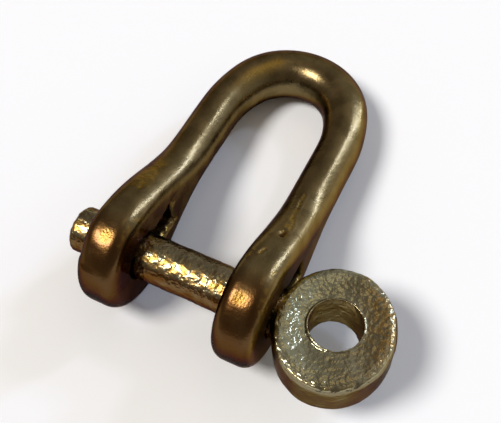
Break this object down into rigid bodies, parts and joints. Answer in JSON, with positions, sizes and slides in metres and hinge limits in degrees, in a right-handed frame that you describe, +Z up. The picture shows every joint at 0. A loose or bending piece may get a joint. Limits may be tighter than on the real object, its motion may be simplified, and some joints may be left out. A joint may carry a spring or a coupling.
{
  "type": "key-pin shackle",
  "caption": "Cast brass bow shackle with two round ears and an eye-headed key pin that slides out through keyways in both ears.",
  "frame": {"origin": "middle of the pin between the ears, on the pin's axis", "axes": "+X along the pin towards its eye head, +Y towards the crown, +Z up with the shackle lying on its ears and crown"},
  "size_m": [0.0537, 0.0606, 0.0194],
  "materials": {
    "bow_casting": "cast and tumbled, darkened with age",
    "pin_casting": "rough sand-cast, worn bright on the shank"
  },
  "bodies": {
    "bow": {"bow": "bow_casting"},
    "pin": {"pin": "pin_casting"}
  },
  "joints": [
    {"name": "pin_withdraw", "type": "slide", "parent": "bow", "child": "pin", "axis": [1, 0, 0], "range_m": [0, 0.0283]}
  ]
}
